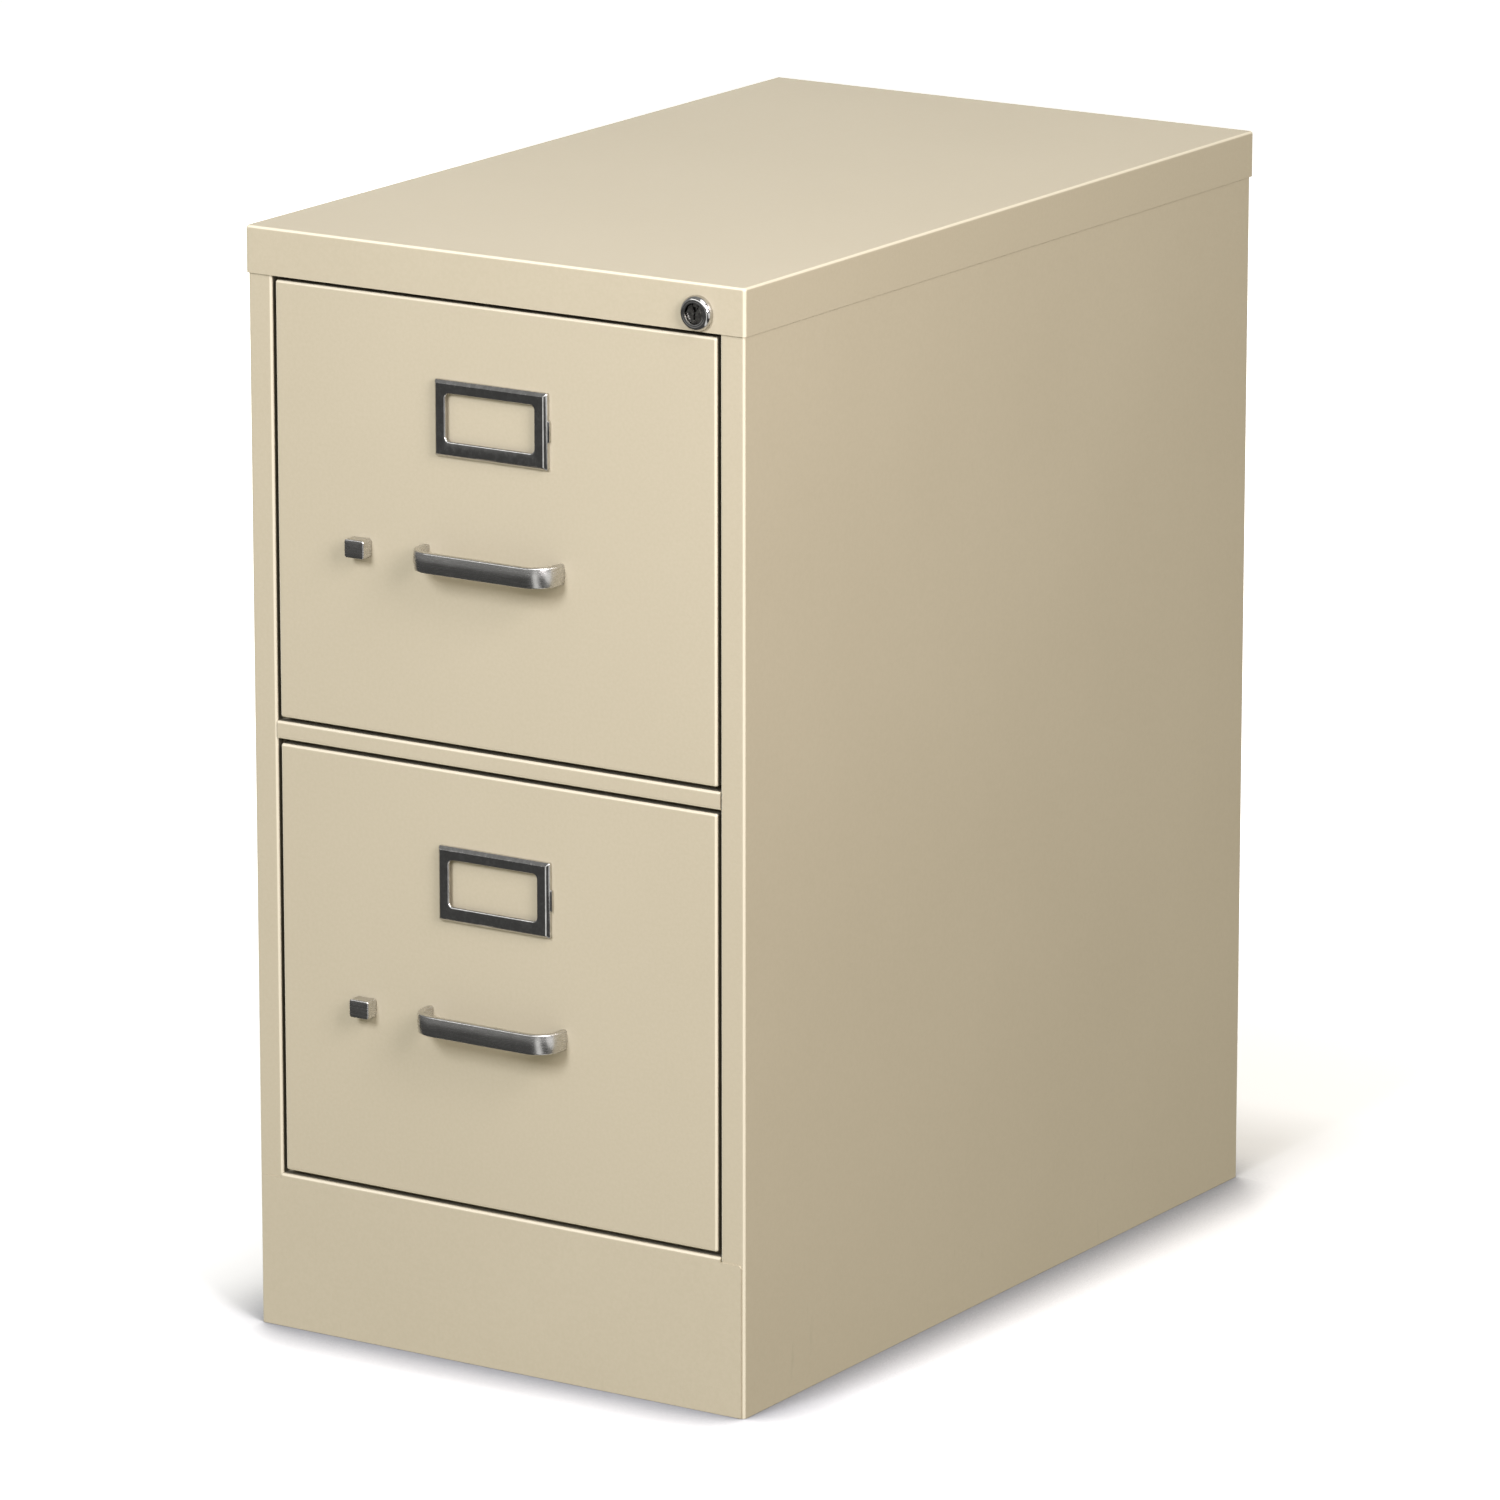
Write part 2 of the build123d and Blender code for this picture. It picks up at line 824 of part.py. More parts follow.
def latch_bracket(bottom):
    """Plate on the pan that guides the latch bar and stops the spring."""
    z = bottom + latch_rise
    left, stop = sheet + bracket_inset - front_half, latch_bar_right + spring_length
    inner = latch_bar_half_height + bracket_clearance
    outer = inner + bracket_sheet
    plate_back = pan_inner + bracket_sheet
    strap_front = latch_bar_y[1] + bracket_clearance
    with BuildPart() as bracket:
        block((left, stop + bracket_sheet), (pan_inner, plate_back), (z - outer, z + outer))
        block(
            (shank_x[0] - 2 * slot_clearance, shank_x[1] + latch_travel + 2 * slot_clearance),
            (pan_inner, plate_back),
            (z - shank_height / 2 - slot_clearance, z + shank_height / 2 + slot_clearance),
            mode=Mode.SUBTRACT,
        )
        for x in ((left, left + bracket_guide_length),
                  (shank_x[0] - 2 * bracket_guide_length, shank_x[0] - bracket_guide_length)):
            for side in (-1, 1):
                wall = sorted((z + side * inner, z + side * outer))
                block(x, (pan_inner, strap_front + bracket_sheet), wall)
            block(x, (strap_front, strap_front + bracket_sheet), (z - outer, z + outer))
        block(
            (stop, stop + bracket_sheet),
            (pan_inner, strap_front + bracket_sheet),
            (z - outer, z + outer),
        )
    return bracket


def latch_spring(bottom):
    """Coil spring between the latch bar's tail and the bracket's stop."""
    y = (latch_bar_y[0] + latch_bar_y[1]) / 2
    z = bottom + latch_rise
    start = latch_bar_right + spring_wire_radius
    coil_length = spring_length - 2 * spring_wire_radius
    with BuildPart() as spring:
        with BuildLine() as coil:
            Helix(
                pitch=coil_length / spring_turns,
                height=coil_length,
                radius=spring_coil_radius,
                center=(start, y, z),
                direction=(1, 0, 0),
            )
        with BuildSketch(Plane(origin=coil.line @ 0, z_dir=coil.line % 0)):
            Circle(spring_wire_radius)
        sweep(is_frenet=True)
    return spring


def lock_lug(bottom):
    """Stud on the drawer's right side that the lock hook stands in front of."""
    with BuildPart() as lug:
        block(
            lug_x,
            (bar_y[0] + lug_gap, bar_y[0] + lug_gap + lug_length),
            (bottom + lug_rise, bottom + lug_rise + lug_height),
        )
        fillet(lug.edges().filter_by(Axis.Y).group_by(Axis.X)[-1], lug_edge)
    return lug


# ---------------------------------------------------------------- lock


def lock_axis():
    return Axis((lock_x, 0, lock_z), (0, 1, 0))


def lock_housing():
    """Domed bezel outside the cap with the barrel that the plug turns in."""
    front = cap_front - bezel_projection
    bore = plug_radius + plug_clearance
    with BuildPart() as housing:
        with BuildSketch(Plane.YZ.offset(lock_x)):
            with BuildLine():
                Polyline(
                    (front + bezel_step_depth, lock_z + bore),
                    (barrel_back, lock_z + bore),
                    (barrel_back, lock_z + lock_barrel_radius),
                    (cap_front, lock_z + lock_barrel_radius),
                    (cap_front, lock_z + bezel_radius),
                )
                dome = (front, lock_z + bezel_flat_radius)
                shoulder = (cap_front - bezel_dome_rise, lock_z + bezel_radius - bezel_dome_inset)
                ThreePointArc((cap_front, lock_z + bezel_radius), shoulder, dome)
                Polyline(
                    dome,
                    (front, lock_z + bezel_step_radius),
                    (front + bezel_step_depth, lock_z + bezel_step_radius),
                    (front + bezel_step_depth, lock_z + bore),
                )
            make_face()
        revolve(axis=lock_axis())
    return housing


def lock_nut():
    """Round nut that clamps the cap's flange against the bezel."""
    with BuildPart() as nut:
        with BuildSketch(front_plane(lock_x, case_front, lock_z)):
            Circle(nut_radius)
            Circle(lock_barrel_radius, mode=Mode.SUBTRACT)
        extrude(amount=-nut_thickness)
    return nut


def lock_plug():
    """Keyed plug. The keyway stands upright when the lock is open."""
    front = cap_front - bezel_projection + plug_recess
    with BuildPart() as plug:
        with BuildSketch(front_plane(lock_x, front, lock_z)):
            Circle(plug_radius)
        extrude(amount=front - plug_back)
        chamfer(plug.faces().sort_by(Axis.Y)[0].edges(), plug_edge)
        with BuildSketch(front_plane(lock_x, front, lock_z)):
            RectangleRounded(keyway_width, keyway_height, keyway_width / 3)
        extrude(amount=-keyway_depth, mode=Mode.SUBTRACT)
    return plug


def lock_cam():
    """Arm behind the plug, with the pin that lifts the lock bar."""
    with BuildPart() as cam:
        with BuildSketch(front_plane(0, cam_back, 0)):
            with Locations((lock_x, lock_z)):
                Circle(cam_hub_radius)
            with Locations((pin_x, pin_z)):
                Circle(cam_tip_radius)
            make_hull()
        extrude(amount=cam_thickness)
        with BuildSketch(front_plane(pin_x, cam_back, pin_z)):
            Circle(cam_pin_radius)
        extrude(amount=-cam_pin_length)
    return cam


def lock_bar():
    """Upright bar inside the right wall, with a slotted arm that reaches to the cam pin."""
    arm = (pin_z - bar_arm_half_height, pin_z + bar_arm_half_height)
    slot_half = cam_pin_radius + cam_slot_clearance
    with BuildPart() as bar:
        block(bar_x, bar_y, (bar_foot, arm[1]))
        block((pin_x - slot_half - bar_slot_wall, bar_x[1]), bar_y, arm)
        block(
            (pin_x - slot_half, pin_x + pin_reach + slot_half),
            bar_y,
            (pin_z - slot_half, pin_z + slot_half),
            mode=Mode.SUBTRACT,
        )
    return bar


def lock_hook(bottom):
    """Plate on the bar that rises in front of the drawer's lug."""
    high = bottom + lug_rise - hook_gap
    with BuildPart() as hook:
        block(
            hook_x,
            (bar_y[0] - bar_thickness, bar_y[0]),
            (high - hook_height, high),
        )
    return hook


def lock_bar_guides():
    """Nylon guides that hold the bar to the right wall, one below each hook."""
    with BuildPart() as guides:
        for bottom in drawers.values():
            low = bottom + lug_rise - guide_drop
            z = (low, low + guide_height)
            block(
                (bar_x[0] - guide_clearance - guide_wall, case_inner),
                (bar_y[0] - guide_clearance - guide_wall, bar_y[1] + guide_clearance + guide_wall),
                z,
            )
            block(
                (bar_x[0] - guide_clearance, bar_x[1] + guide_clearance),
                (bar_y[0] - guide_clearance, bar_y[1] + guide_clearance),
                z,
                mode=Mode.SUBTRACT,
            )
    return guides


# ---------------------------------------------------------------- make every piece

os.makedirs("parts", exist_ok=True)

write(left_side(), "left_side_panel")
write(right_side(), "right_side_panel")
write(back_panel(), "back_panel")
write(top_cap(), "top_cap")
write(mid_rail(), "mid_rail")
write(base_panel(), "base_panel")
write(bottom_rear_rail(), "bottom_rear_rail")
uprights()
write(latch_strikes(), "latch_strikes")
write(slide_bumpers(), "slide_bumpers")

write(lock_housing(), "lock_housing")
write(lock_nut(), "lock_nut")
write(lock_plug(), "lock_plug")
write(lock_cam(), "lock_cam")
write(lock_bar(), "lock_bar")
write(lock_bar_guides(), "lock_bar_guides")

drawer_pieces = {
    "drawer_front": drawer_front,
    "drawer_liner": drawer_liner,
    "drawer_body": drawer_body,
    "drawer_back": drawer_back,
    "pull": pull,
    "pull_screws": pull_screws,
    "label_holder": label_holder,
    "latch_button": latch_button,
    "latch_bar": latch_bar,
    "latch_bracket": latch_bracket,
    "latch_spring": latch_spring,
    "lock_lug": lock_lug,
    "lock_hook": lock_hook,
}
for level, bottom in drawers.items():
    slides(level)
    for name, make in drawer_pieces.items():
        write(make(bottom), f"{level}_{name}")
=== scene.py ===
import json
from math import atan2, cos, pi, radians, sin

import bmesh
import bpy
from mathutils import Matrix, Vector


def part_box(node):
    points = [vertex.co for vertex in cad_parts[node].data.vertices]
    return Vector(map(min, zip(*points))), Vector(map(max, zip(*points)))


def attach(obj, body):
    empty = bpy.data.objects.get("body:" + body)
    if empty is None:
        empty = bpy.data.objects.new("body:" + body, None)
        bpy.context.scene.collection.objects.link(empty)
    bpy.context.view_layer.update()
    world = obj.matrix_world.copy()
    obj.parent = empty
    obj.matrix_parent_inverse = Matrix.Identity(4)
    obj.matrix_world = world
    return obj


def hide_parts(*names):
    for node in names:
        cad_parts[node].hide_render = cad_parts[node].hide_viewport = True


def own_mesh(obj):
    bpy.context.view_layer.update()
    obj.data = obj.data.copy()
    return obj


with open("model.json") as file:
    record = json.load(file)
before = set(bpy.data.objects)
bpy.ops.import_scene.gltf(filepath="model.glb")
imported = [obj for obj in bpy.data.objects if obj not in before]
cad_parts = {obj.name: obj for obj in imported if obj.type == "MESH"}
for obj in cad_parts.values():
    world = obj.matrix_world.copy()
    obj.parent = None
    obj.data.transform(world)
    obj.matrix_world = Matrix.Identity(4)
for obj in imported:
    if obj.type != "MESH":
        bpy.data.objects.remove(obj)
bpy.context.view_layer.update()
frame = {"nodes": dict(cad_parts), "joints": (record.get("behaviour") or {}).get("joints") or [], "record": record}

nodes = frame["nodes"]
levels = ("upper", "lower")

# Sizes of the fittings, in metres, that their CAD boxes don't give
mm = 0.001
seat_clearance = 0.02 * mm
corner_steps = 6

strap_thickness = 4.8 * mm
strap_bend = 18 * mm
strap_crown = 0.55 * mm
strap_edge = 1.2 * mm
strap_bend_steps = 28

frame_bevel = 2.2 * mm
frame_bevel_bulge = 0.28 * mm
frame_bevel_steps = 4
frame_corner = 0.9 * mm
frame_sharp = 0.15 * mm
frame_face_inset = 0.3 * mm
frame_wall = 1.2 * mm
frame_lip_steps = 6
window_half = (34 * mm, 15.5 * mm)
window_rise = 1 * mm
window_corner = 3 * mm
pocket_half = (39 * mm, 21 * mm)
card_stop_half_height = 7 * mm
card_stop_reach = 1.2 * mm
card_stop_overlap = 0.9 * mm
card_stop_thickness = 2.2 * mm
card_stop_edge = 0.45 * mm
tab_inset = 1.5 * mm
tab_thickness = 0.9 * mm
tab_half_height = 2.5 * mm
tab_root = 1.5 * mm
tab_edge = 0.2 * mm

button_edge = 1 * mm
button_edge_steps = 6
button_back_edge = (0.25 * mm, 0.3 * mm)
button_gap = 0.3 * mm
button_corner = 1.8 * mm
button_least_corner = 0.2 * mm
button_crown = 0.12 * mm
button_crown_shares = (0.3, 0.55, 0.8)
shank_left, shank_right = 6.2 * mm, 2.0 * mm
shank_half_height = 3 * mm
shank_overlap = 0.1 * mm
shank_edge = 0.3 * mm

turning_steps = 96
dome_steps = 10
dome_width = 3.0 * mm
dome_foot = 0.5 * mm
barrel_inset = 1.85 * mm
bore_inset = 4.7 * mm
# Inner ring of the bezel, as (in from the rim, back from the front)
bezel_ring = ((3.25 * mm, 0.1 * mm), (3.55 * mm, 0.16 * mm), (3.85 * mm, 0.08 * mm),
              (4.3 * mm, 0.1 * mm), (bore_inset, 0.22 * mm))

plug_edge = 0.4 * mm
# Turned groove in the plug's face, as (share of the radius, depth)
plug_groove = ((0.80, 0.0), (0.775, 0.25 * mm), (0.75, 0.0))
keyway_half = (0.9 * mm, 4.2 * mm)
keyway_steps = 10
keyway_chamfer = 0.15 * mm
keyway_flare = (0.06, 0.03)
keyway_depth = 15 * mm

spring_wire = 0.4 * mm
spring_turns = 9
spring_steps_per_turn = 20
spring_wire_sides = 8
latch_slide = next(j for j in frame["joints"] if j["name"] == "upper_latch_slide")
latch_travel = latch_slide["range_m"][1]

# Where the enamel is scuffed near the floor, and where painted shade darkens the gaps behind the front faces
scuff_height = 0.12
gap_near = (1.6 * mm, 2.1 * mm)
gap_far = (8 * mm, 6 * mm)
gap_rim = 2 * mm

floor_half_width = 30.0
floor_drop = 0.3 * mm
floor_shadow_reach = 0.075

camera_lens, camera_sensor = 223.4, 36.0
camera_place = (3.2493, -5.0626, 1.8877)
camera_azimuth, camera_elevation = radians(32.713), radians(-14.342)


# ---------------------------------------------------------------- finishes


class Value:
    """A socket that takes part in sums: each operator adds a Math node."""

    def __init__(self, finish, socket):
        self.finish, self.socket = finish, socket

    def __add__(self, other):
        return self.finish.math("ADD", self, other)

    def __rsub__(self, other):
        return self.finish.math("SUBTRACT", other, self)

    def __mul__(self, other):
        return self.finish.math("MULTIPLY", self, other)

    __radd__ = __add__
    __rmul__ = __mul__


class Finish:
    """A node tree under construction, for a material or for the sky."""

    def __init__(self, owner):
        owner.use_nodes = True
        self.owner, self.tree = owner, owner.node_tree
        self.tree.nodes.clear()

    def node(self, kind, settings=None, inputs=None, output=0):
        """Adds a node: its settings first, then its sockets. Gives the wanted output."""
        made = self.tree.nodes.new(kind)
        for name, value in (settings or {}).items():
            setattr(made, name, value)
        for name, value in (inputs or {}).items():
            if isinstance(value, Value):
                self.tree.links.new(value.socket, made.inputs[name])
            else:
                made.inputs[name].default_value = value
        return Value(self, made.outputs[output]) if made.outputs else made

    def math(self, operation, *values):
        return self.node("ShaderNodeMath", {"operation": operation}, dict(enumerate(values)))

    def vectors(self, operation, first, second):
        return self.node("ShaderNodeVectorMath", {"operation": operation}, {0: first, 1: second})

    def place(self):
        """The point on the piece, in metres, in the frame that the piece was made in."""
        return self.node("ShaderNodeTexCoord", output="Object")

    def split(self, vector):
        return [self.node("ShaderNodeSeparateXYZ", None, {"Vector": vector}, output=axis)
                for axis in range(3)]

    def noise(self, vector, scale=1.0, detail=2.0, roughness=0.5):
        return self.node("ShaderNodeTexNoise", {"noise_dimensions": "3D"},
                         {"Vector": vector, "Scale": scale, "Detail": detail,
                          "Roughness": roughness})

    def drawn_out(self, vector, scales, detail, roughness):
        """Noise with its own scale along each axis."""
        return self.noise(self.vectors("MULTIPLY", vector, scales),
                          detail=detail, roughness=roughness)

    def between(self, value, low, high):
        """0 at low and 1 at high, with a smooth step between them."""
        return self.node("ShaderNodeMapRange", {"interpolation_type": "SMOOTHSTEP"},
                         {"Value": value, "From Min": low, "From Max": high})

    def mixed(self, share, first, second):
        """Colour first, turning to second as share goes from 0 to 1."""
        return self.node("ShaderNodeMix", {"data_type": "RGBA"},
                         {0: share, 6: first, 7: second}, output=2)

    def bump(self, height, depth):
        return self.node("ShaderNodeBump", None,
                         {"Height": height, "Distance": depth, "Strength": 1.0})

    def surface(self, **inputs):
        shader = self.node("ShaderNodeBsdfPrincipled", None,
                           {name.replace("_", " "): value for name, value in inputs.items()})
        self.node("ShaderNodeOutputMaterial", None, {"Surface": shader})
        return self.owner


def finish(name):
    return Finish(bpy.data.materials.new(name))


def rgb(r, g, b):
    return (r, g, b, 1.0)


def shifted(colour, share, lift=0.0):
    """A colour made darker or paler: each part times share, plus lift."""
    return rgb(*(min(1.0, part * share + lift) for part in colour))


def bend_highlight_mask(f):
    """1 on the rounded bends, where no flat face of the sheet looks along an axis: where the paint gets a painted
    highlight.
    """
    normal = f.node("ShaderNodeTexCoord", output="Normal")
    sides = [f.math("ABSOLUTE", side) for side in f.split(normal)]
    flat = f.math("MAXIMUM", f.math("MAXIMUM", sides[0], sides[1]), sides[2])
    return f.between(flat, 0.985, 0.90)


def shade_in_gaps(f, at):
    """1 just behind the front faces round the drawers, where the gaps are painted dark as shade."""
    x, y, z = f.split(at)
    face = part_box("upper_drawer_front")[0].y
    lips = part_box("mid_rail")[1].x + gap_rim
    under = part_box("top_cap")[0].z
    shallow = (f.between(y, face + gap_near[0], face + gap_near[1])
               * f.between(y, face + gap_far[0], face + gap_far[1]))
    within = f.between(f.math("ABSOLUTE", x), lips + gap_rim, lips)
    return shallow * within * f.between(z, under + gap_rim, under)


def case_paint():
    """Baked beige enamel: fine orange peel, faint mottling, a few scuffs near the floor, a painted highlight on
    the bends and painted shade in the gaps round the drawers.
    """
    deep, pale = rgb(0.424, 0.371, 0.270), rgb(0.452, 0.398, 0.294)
    scuff, bend_highlight, gap_shade = rgb(0.31, 0.28, 0.21), rgb(0.64, 0.585, 0.46), rgb(0.05, 0.045, 0.035)
    f = finish("beige_enamel")
    at = f.place()
    cloud = f.noise(at, scale=5.0, detail=3.0)
    mottle = f.noise(at, scale=420.0, detail=3.0, roughness=0.6)
    peel = f.noise(at, scale=900.0, detail=2.0, roughness=0.55)
    rub = f.drawn_out(at, (90.0, 90.0, 16.0), detail=4.0, roughness=0.65)
    tone = f.between(cloud, 0.25, 0.75) * 0.45 + f.between(mottle, 0.3, 0.7) * 0.55
    raised = f.between(f.split(at)[2], 0.0, scuff_height)
    scuffed = f.between(rub, 0.62, 0.74) * (1 - raised)
    colour = f.mixed(tone, deep, pale)
    colour = f.mixed(scuffed * 0.22, colour, scuff)
    # Painted highlight: the rounded bends are painted paler, as if light caught them
    colour = f.mixed(bend_highlight_mask(f) * 0.8, colour, bend_highlight)
    # Painted shade: the gaps behind the front faces are painted nearly black
    colour = f.mixed(shade_in_gaps(f, at) * 0.8, colour, gap_shade)
    return f.surface(
        Base_Color=colour,
        Roughness=0.36 + f.between(mottle, 0.2, 0.8) * 0.07 + scuffed * 0.12,
        Normal=f.bump(peel * 0.7 + mottle * 0.3, 0.06 * mm),
        Specular_IOR_Level=0.5,
        Coat_Roughness=0.22,
        Coat_Weight=0.12,
    )


def plated_steel(name, colour, spangle, grain, roughness):
    """Plated sheet: a faint crystal pattern under fine rolling lines along the slide."""
    f = finish(name)
    at = f.place()
    crystal = f.node("ShaderNodeTexVoronoi", {"feature": "F1"},
                     {"Vector": at, "Scale": spangle}, output="Color")
    flake = f.node("ShaderNodeSeparateColor", None, {"Color": crystal})
    lines = f.drawn_out(at, grain, detail=3.0, roughness=0.7)
    stain = f.noise(at, scale=22.0, detail=3.0)
    rolled = f.between(lines, 0.3, 0.7)
    shade = f.between(flake, 0.0, 1.0) * 0.35 + rolled * 0.4 + f.between(stain, 0.3, 0.7) * 0.25
    return f.surface(
        Base_Color=f.mixed(shade, shifted(colour, 0.78), rgb(*colour)),
        Metallic=1.0,
        Roughness=roughness + rolled * 0.12 + f.between(stain, 0.4, 0.8) * 0.08,
        Normal=f.bump(lines, 0.04 * mm),
    )


def satin_metal():
    """Satin plate, brushed along its length, with the odd rub mark."""
    f = finish("brushed_satin_plate")
    at = f.place()
    grain = f.drawn_out(at, (45.0, 260.0, 2600.0), detail=3.0, roughness=0.65)
    rub = f.noise(at, scale=130.0, detail=3.0, roughness=0.6)
    marks = f.drawn_out(at, (60.0, 900.0, 900.0), detail=2.0, roughness=0.8)
    scratch = f.between(marks, 0.68, 0.74)
    brushed = f.between(grain, 0.3, 0.7)
    shade = brushed * 0.6 + f.between(rub, 0.3, 0.7) * 0.4
    return f.surface(
        Base_Color=f.mixed(shade, rgb(0.50, 0.49, 0.47), rgb(0.64, 0.63, 0.61)),
        Metallic=1.0,
        Roughness=0.21 + brushed * 0.1 + scratch * 0.12,
        Normal=f.bump(grain * 0.8 + scratch * 0.2, 0.006 * mm),
    )


def chrome():
    """Bright plate over pressed steel, slightly wavy, with fine wiping marks."""
    f = finish("bright_plate")
    at = f.place()
    wave = f.noise(at, scale=75.0, detail=1.0)
    wipe = f.drawn_out(at, (1200.0, 1200.0, 240.0), detail=3.0, roughness=0.7)
    haze = f.noise(at, scale=260.0, detail=3.0, roughness=0.6)
    return f.surface(
        Base_Color=f.mixed(f.between(haze, 0.35, 0.75),
                           rgb(0.52, 0.51, 0.49), rgb(0.64, 0.63, 0.61)),
        Metallic=1.0,
        Roughness=0.09 + f.between(wipe, 0.4, 0.8) * 0.07 + f.between(haze, 0.5, 0.8) * 0.05,
        Normal=f.bump(wave * 0.9 + wipe * 0.1, 0.12 * mm),
    )


def lock_metal():
    """Dulled nickel with turning rings about the lock's axis."""
    rings_per_metre = 14000.0
    f = finish("dull_nickel")
    low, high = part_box("lock_plug")
    at = f.vectors("SUBTRACT", f.place(), (low + high) / 2)
    x, _, z = f.split(at)
    radius = f.math("SQRT", x * x + z * z)
    rings = f.math("SINE", radius * rings_per_metre) * 0.5 + 0.5
    stain = f.noise(at, scale=420.0, detail=3.0, roughness=0.6)
    dulled = f.between(stain, 0.3, 0.7)
    return f.surface(
        Base_Color=f.mixed(dulled, rgb(0.24, 0.23, 0.215), rgb(0.38, 0.37, 0.345)),
        Metallic=1.0,
        Roughness=0.2 + dulled * 0.16,
        Normal=f.bump(rings * 0.5 + stain * 0.5, 0.02 * mm),
    )


def moulded(name, colour, roughness, depth):
    """Moulded rubber or nylon with a fine spark-eroded skin."""
    f = finish(name)
    at = f.place()
    skin = f.noise(at, scale=1400.0, detail=2.0, roughness=0.6)
    cloud = f.noise(at, scale=60.0, detail=2.0)
    return f.surface(
        Base_Color=f.mixed(f.between(cloud, 0.3, 0.7), rgb(*colour),
                           shifted(colour, 1.25, lift=0.01)),
        Roughness=roughness + f.between(skin, 0.3, 0.7) * 0.1,
        Normal=f.bump(skin, depth),
    )


finishes = {
    "case_paint": case_paint(),
    "zinc_steel": plated_steel("zinc_plate", (0.62, 0.63, 0.64), spangle=260.0,
                               grain=(900.0, 12.0, 900.0), roughness=0.26),
    "bearing_steel": plated_steel("bright_steel", (0.66, 0.66, 0.67), spangle=900.0,
                                  grain=(700.0, 40.0, 700.0), roughness=0.16),
    "spring_steel": plated_steel("spring_wire", (0.42, 0.42, 0.43), spangle=1500.0,
                                 grain=(300.0, 1500.0, 1500.0), roughness=0.24),
    "chrome": chrome(),
    "satin_metal": satin_metal(),
    "lock_metal": lock_metal(),
    "rubber": moulded("black_rubber", (0.018, 0.018, 0.018), roughness=0.62, depth=0.05 * mm),
    "nylon": moulded("natural_nylon", (0.66, 0.64, 0.58), roughness=0.4, depth=0.02 * mm),
}


# ---------------------------------------------------------------- shapes


def loft(rings, closed=False):
    """Faces between each ring of points and the next. Open lofts get a face over each end."""
    count = len(rings[0])
    points = [p for ring in rings for p in ring]
    faces = []
    for i in range(len(rings) if closed else len(rings) - 1):
        a, b = i * count, (i + 1) % len(rings) * count
        faces += [(a + k, a + (k + 1) % count, b + (k + 1) % count, b + k) for k in range(count)]
    if not closed:
        faces += [tuple(reversed(range(count))), tuple(range(len(points) - count, len(points)))]
    return points, faces


def joined(*shapes):
    points, faces = [], []
    for more_points, more_faces in shapes:
        start = len(points)
        points += more_points
        faces += [tuple(start + k for k in face) for face in more_faces]
    return points, faces


def piece(name, shape, body, slot, replaced, crease):
    """A mesh object with one finish, that rides on a body and stands for CAD nodes."""
    points, faces = shape
    mesh = bpy.data.meshes.new(name)
    mesh.from_pydata([tuple(p) for p in points], [], faces)
    mesh.validate()
    mesh.shade_smooth()
    mesh.set_sharp_from_angle(angle=radians(crease))
    outward(mesh)
    made = bpy.data.objects.new(name, mesh)
    bpy.context.scene.collection.objects.link(made)
    mesh.materials.append(finishes[slot])
    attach(made, body)
    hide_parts(*replaced)
    return made


def outward(mesh):
    """Turns every face of a mesh to look out."""
    work = bmesh.new()
    work.from_mesh(mesh)
    bmesh.ops.recalc_face_normals(work, faces=work.faces)
    work.to_mesh(mesh)
    work.free()


def arc(centre, radius, start, end, steps):
    angles = [start + (end - start) * i / steps for i in range(steps + 1)]
    return [(centre[0] + radius * cos(a), centre[1] + radius * sin(a)) for a in angles]


def rounded(half, corner, centre, steps=corner_steps):
    """Outline of a rounded rectangle, anticlockwise from the right-hand side."""
    w, h = half[0] - corner, half[1] - corner
    outline = []
    for k, (sx, sz) in enumerate(((1, 1), (-1, 1), (-1, -1), (1, -1))):
        middle = (centre[0] + sx * w, centre[1] + sz * h)
        outline += arc(middle, corner, k * pi / 2, (k + 1) * pi / 2, steps)
    return outline


def facing(outline, y):
    """An outline in X and Z as points at one depth."""
    return [Vector((x, y, z)) for x, z in outline]


def front_view(low, high):
    """Centre and half size of a box as seen from the front, in X and Z."""
    return (((low[0] + high[0]) / 2, (low[2] + high[2]) / 2),
            ((high[0] - low[0]) / 2, (high[2] - low[2]) / 2))


def brick(low, high, edge):
    """A block with softened edges, lofted from its front to its back."""
    centre, half = front_view(low, high)
    small = (half[0] - edge, half[1] - edge)
    outlines = ((small, low[1]), (half, low[1] + edge), (half, high[1] - edge), (small, high[1]))
    return loft([facing(rounded(size, edge / 2, centre, steps=3), y) for size, y in outlines])


def strap_section(height):
    """The strap's section as (inwards, up): crowned face, rounded edges, flat back."""
    steps = 6
    rim = height / 2 - strap_edge
    section = [(strap_crown * (1 - cos(pi / 2 * abs(t))) ** 0.5 * abs(t), rim * t)
               for t in (k / steps - 1 for k in range(2 * steps + 1))]
    top = arc((section[-1][0] + strap_edge, rim), strap_edge, pi, pi / 2, steps)[1:]
    back = arc((strap_thickness - strap_edge, rim), strap_edge, pi / 2, 0, steps)
    return section + top + back + [(u, -v) for u, v in reversed(top + back)]


def strap_path(low, high, seat):
    """The strap's outer line as ((x, y), direction it looks in), from its left foot."""
    shin = (seat + low.y + strap_bend) / 2
    path = [((low.x, seat), pi), ((low.x, shin), pi)]
    for x, start in ((low.x + strap_bend, pi), (high.x - strap_bend, 1.5 * pi)):
        for k in range(strap_bend_steps + 1):
            a = start + k * pi / 2 / strap_bend_steps
            path.append(((x + strap_bend * cos(a), low.y + strap_bend + strap_bend * sin(a)), a))
    return path + [((high.x, shin), 2 * pi), ((high.x, seat), 2 * pi)]


